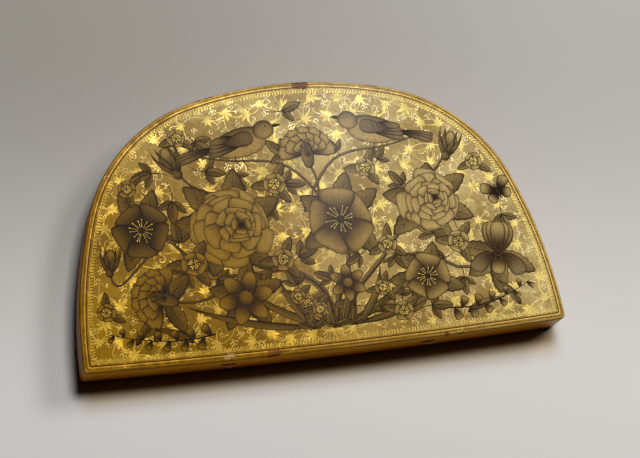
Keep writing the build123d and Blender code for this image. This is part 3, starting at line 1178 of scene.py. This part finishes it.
def plain_lacquer(name, deep, light):
    """Dark lacquer for the sides that lie hidden."""
    made, n, shader = material(name)
    tone = n.noise(38.0, 5.0, 0.62)
    colour = n.blend(n.ramp(tone, 0.35, 0.68), deep, light)
    rubbed = use(n, EDGE_WEAR, Height=1.8 * MM, Reach=0.8 * MM, Scale=300.0)["Mask"]
    colour = n.blend(n.times(rubbed, 0.6), colour, srgb(140, 104, 60))
    varnish(n, shader, colour, rough=0.35)
    return made


def gilding():
    made, n, shader = material("gilding")
    rubbed = n.ramp(n.noise(420.0, 4.0, 0.7), 0.52, 0.66)
    n.put(shader, {
        "Base Color": n.blend(rubbed, srgb(206, 164, 76), srgb(128, 58, 26)),
        "Metallic": n.ramp(rubbed, 0.0, 1.0, 0.9, 0.1),
        "Roughness": n.ramp(n.noise(200.0), 0.3, 0.7, 0.25, 0.45)})
    relief(n, shader, n.noise(500.0, 4.0), 0.4, 0.1 * MM)
    return made


def pasteboard():
    made, n, shader = material("pasteboard")
    fibre = n.noise(3.0, 5.0, place=n.stretched(300, 60, 300))
    n.put(shader, {
        "Base Color": n.blend(n.ramp(fibre, 0.35, 0.65), srgb(142, 120, 88), srgb(182, 160, 126)),
        "Roughness": n.ramp(fibre, 0.3, 0.7, 0.8, 0.95)})
    relief(n, shader, fibre, 0.5, 0.2 * MM)
    return made


def silvering():
    """Old silvering: bright, clouded in patches, with small dark specks."""
    made, n, shader = material("silvering")
    cloud = n.ramp(n.noise(26.0, 5.0, 0.65), 0.5, 0.72)
    speck = n.ramp(n.noise(420.0, 3.0, 0.8), 0.68, 0.74)
    spoiled = n.math("MAXIMUM", n.times(cloud, 0.35), speck)
    n.put(shader, {
        "Base Color": n.blend(spoiled, srgb(226, 226, 222), srgb(92, 84, 72)),
        "Roughness": n.ramp(spoiled, 0.0, 1.0, 0.03, 0.5),
        "Metallic": n.ramp(speck, 0.0, 1.0, 1.0, 0.2)})
    return made


def glass():
    made, n, shader = material("glass")
    shader.inputs["Transmission Weight"].default_value = 1.0
    shader.inputs["IOR"].default_value = 1.5
    smear = n.noise(40.0, 4.0, 0.6)
    n.put(shader, {
        "Base Color": n.blend(n.ramp(smear, 0.3, 0.7), srgb(238, 246, 240), srgb(248, 250, 246)),
        "Roughness": n.ramp(smear, 0.45, 0.75, 0.0, 0.06)})
    return made


def brass_wire():
    """Hinge wire lacquered over with the wall, brass where the lacquer has worn off."""
    made, n, shader = material("brass_wire")
    bare = n.ramp(n.noise(700.0, 4.0, 0.6), 0.55, 0.66)
    n.put(shader, {
        "Base Color": n.blend(bare, srgb(176, 114, 32), srgb(206, 160, 76)),
        "Metallic": n.ramp(bare, 0.0, 1.0, 0.0, 0.9),
        "Roughness": n.ramp(bare, 0.0, 1.0, 0.5, 0.3)})
    return made


def dress(finish, *names):
    """Gives the CAD pieces of these names a material."""
    for name in names:
        mesh = nodes[name].data
        mesh.materials.clear()
        mesh.materials.append(finish)


def glass_sheet():
    """The mirror glass, held a hair off the silvering so that each surface shows by itself."""
    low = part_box("mirror_glass")[0].z + SLIT
    bm = bmesh.new()
    outline = [bm.verts.new((x * MM, PLAN_Y + y * MM, low)) for x, y in edge_points(GLASS_INSET, 3.0)]
    grown = bmesh.ops.extrude_face_region(bm, geom=[bm.faces.new(outline)])
    raised = [v for v in grown["geom"] if isinstance(v, bmesh.types.BMVert)]
    bmesh.ops.translate(bm, vec=(0, 0, GLASS - low), verts=raised)
    bmesh.ops.recalc_face_normals(bm, faces=bm.faces)
    piece = link("glass_sheet", mesh_of(bm, "glass_sheet"))
    piece.data.materials.append(glass())
    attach(piece, "case")
    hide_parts("mirror_glass")


dress(gold_ground(), "lid_board")
dress(wall_lacquer(), "lid_arch_rim", "lid_straight_rim", "case_arch_wall", "case_straight_wall")
dress(plain_lacquer("back_lacquer", srgb(62, 22, 12), srgb(92, 36, 18)), "case_back_board")
dress(plain_lacquer("lining_lacquer", srgb(104, 26, 16), srgb(132, 40, 22)), "lid_lining")
dress(plain_lacquer("frame_lacquer", srgb(46, 20, 12), srgb(74, 34, 18)), "mirror_frame")
dress(gilding(), "gilt_bead")
dress(pasteboard(), "mirror_bed", "glass_packing")
dress(silvering(), "mirror_silvering")
glass_sheet()
dress(brass_wire(), "hinge_staple_left", "hinge_staple_right", "hinge_eye_left", "hinge_eye_right")

# Colours of the lines, and the material and slot of every kind of brushwork
COLOURS = {
    "ink": INK, "umber": UMBER, "drab": DRAB, "gold": GOLD, "pale": PALE, "red": RED, "ochre": OCHRE}
PIGMENT = (pigment(), "gold_lacquer")
SHELL_GOLD = (shell_gold(), "gold_lacquer")
FINISHES = {name: PIGMENT for name in ("ink", "umber", "drab", "red", "flowers", "leaves", "birds")}
FINISHES.update({name: SHELL_GOLD for name in ("gold", "pale", "ochre", "scroll")})

for name, body, height, faces_up, draw in (
        ("lid", "lid", TOP, True, lid_picture),
        ("lining", "lid", LINING, False, lining_picture),
        ("underside", "case", 0.0, False, underside_picture),
        ("frame", "case", LIP, True, frame_vine)):
    painting = Painting(name, body, height, faces_up)
    draw(painting)
    painting.finish(FINISHES, COLOURS)


# Stage


def camera():
    """The camera, turned to look along its direction and then rolled about it."""
    el, az, roll = radians(CAMERA_ELEVATION), radians(CAMERA_AZIMUTH), radians(CAMERA_ROLL)
    forward = Vector((sin(az) * cos(el), cos(az) * cos(el), -sin(el)))
    level = forward.cross(Vector((0, 0, 1))).normalized()
    above = level.cross(forward)
    right = level * cos(roll) + above * sin(roll)
    up = above * cos(roll) - level * sin(roll)
    data = bpy.data.cameras.new("camera")
    data.lens = LENS
    data.sensor_width = SENSOR
    data.clip_start = 0.01
    scene.camera = link("camera", data)
    turned = Matrix((right, up, -forward)).transposed().to_4x4()
    scene.camera.matrix_world = Matrix.Translation(CAMERA_AT) @ turned


def lamp(name, elevation, azimuth, size, power):
    """A panel of light that faces the case."""
    el, az = radians(elevation), radians(azimuth)
    at = Vector((sin(az) * cos(el), cos(az) * cos(el), sin(el))) * LAMP_DISTANCE
    data = bpy.data.lights.new(name, "AREA")
    data.shape = "RECTANGLE"
    data.size, data.size_y = size
    data.energy = power
    made = link(name, data)
    made.location = at
    made.rotation_euler = at.to_track_quat("Z", "Y").to_euler()


def floor_shade(n, along_x, along_y, start):
    """From 0 to 1 over the floor, in the direction given."""
    return n.ramp(n.vector("DOT_PRODUCT", n.place(), (along_x, along_y, 0.0)), start, start + 1)


def lay_floor():
    """A pale floor with painted light falloff, darker at the back, and a painted warm shadow at the foot of
    the case's front wall.
    """
    bm = bmesh.new()
    bmesh.ops.create_grid(bm, x_segments=1, y_segments=1, size=FLOOR_HALF)
    mesh = mesh_of(bm, "floor")
    mesh.transform(Matrix.Translation((0, 0, -FLOOR_BELOW)))
    floor = link("floor", mesh)
    made, n, shader = material("floor")
    # Painted light falloff: the floor's grey darkens towards the back and, at the back, towards the left
    across = floor_shade(n, *ACROSS)
    down = n.math("POWER", floor_shade(n, *DOWN), 1.3)
    far = n.blend(across, srgb(150, 146, 138), srgb(170, 166, 161))
    near = n.blend(across, srgb(215, 211, 208), srgb(212, 209, 205))
    grey = n.blend(down, far, near)
    x, y, _ = n.axes()
    from_middle = n.math("ABSOLUTE", x)
    aside = n.math("MAXIMUM", n.less(from_middle, HALF_WIDTH * MM), 0.0)
    before = n.math("MAXIMUM", n.less(PLAN_Y, y), 0.0)
    off = n.math("SQRT", n.plus(n.times(aside, aside), n.times(before, before)))
    beside = n.ramp(from_middle, (HALF_WIDTH - 6) * MM, (HALF_WIDTH + 5) * MM, 1.0, 0.0)
    # Painted warm shadow: the floor darkened and warmed in front of the wall, for its shadow and the warm
    # light it throws back
    painted_warm_shadow = n.times(n.ramp(off, 3 * MM, WARM_SHADOW_REACH, 1.0, 0.0), beside)
    painted_warm_shadow = n.times(painted_warm_shadow, n.ramp(y, PLAN_Y, PLAN_Y + 12 * MM, 1.0, 0.0))
    warm_shadow_colour = n.blend(1.0, grey, (0.68, 0.51, 0.28), "MULTIPLY")
    n.put(shader, {"Base Color": n.blend(painted_warm_shadow, grey, warm_shadow_colour)})
    shader.inputs["Roughness"].default_value = 0.9
    shader.inputs["Specular IOR Level"].default_value = 0.1
    mesh.materials.append(made)


def light_room():
    """A pale room, bright only where metal and glass show it."""
    scene.world = bpy.data.worlds.new("world")
    scene.world.use_nodes = True
    n = Nodes(scene.world.node_tree)
    background = n.tree.nodes["Background"]
    background.inputs[0].default_value = (*srgb(210, 208, 206), 1.0)
    path = n.add("ShaderNodeLightPath").outputs
    mirrored = n.math("MAXIMUM", path["Is Glossy Ray"], path["Is Transmission Ray"])
    n.put(background, {1: n.ramp(mirrored, 0.0, 1.0, WORLD_LIGHT, WORLD_SEEN)})


camera()
lay_floor()
light_room()
lamp("key", *KEY)
lamp("fill", *FILL)
scene.view_settings.view_transform = "Standard"
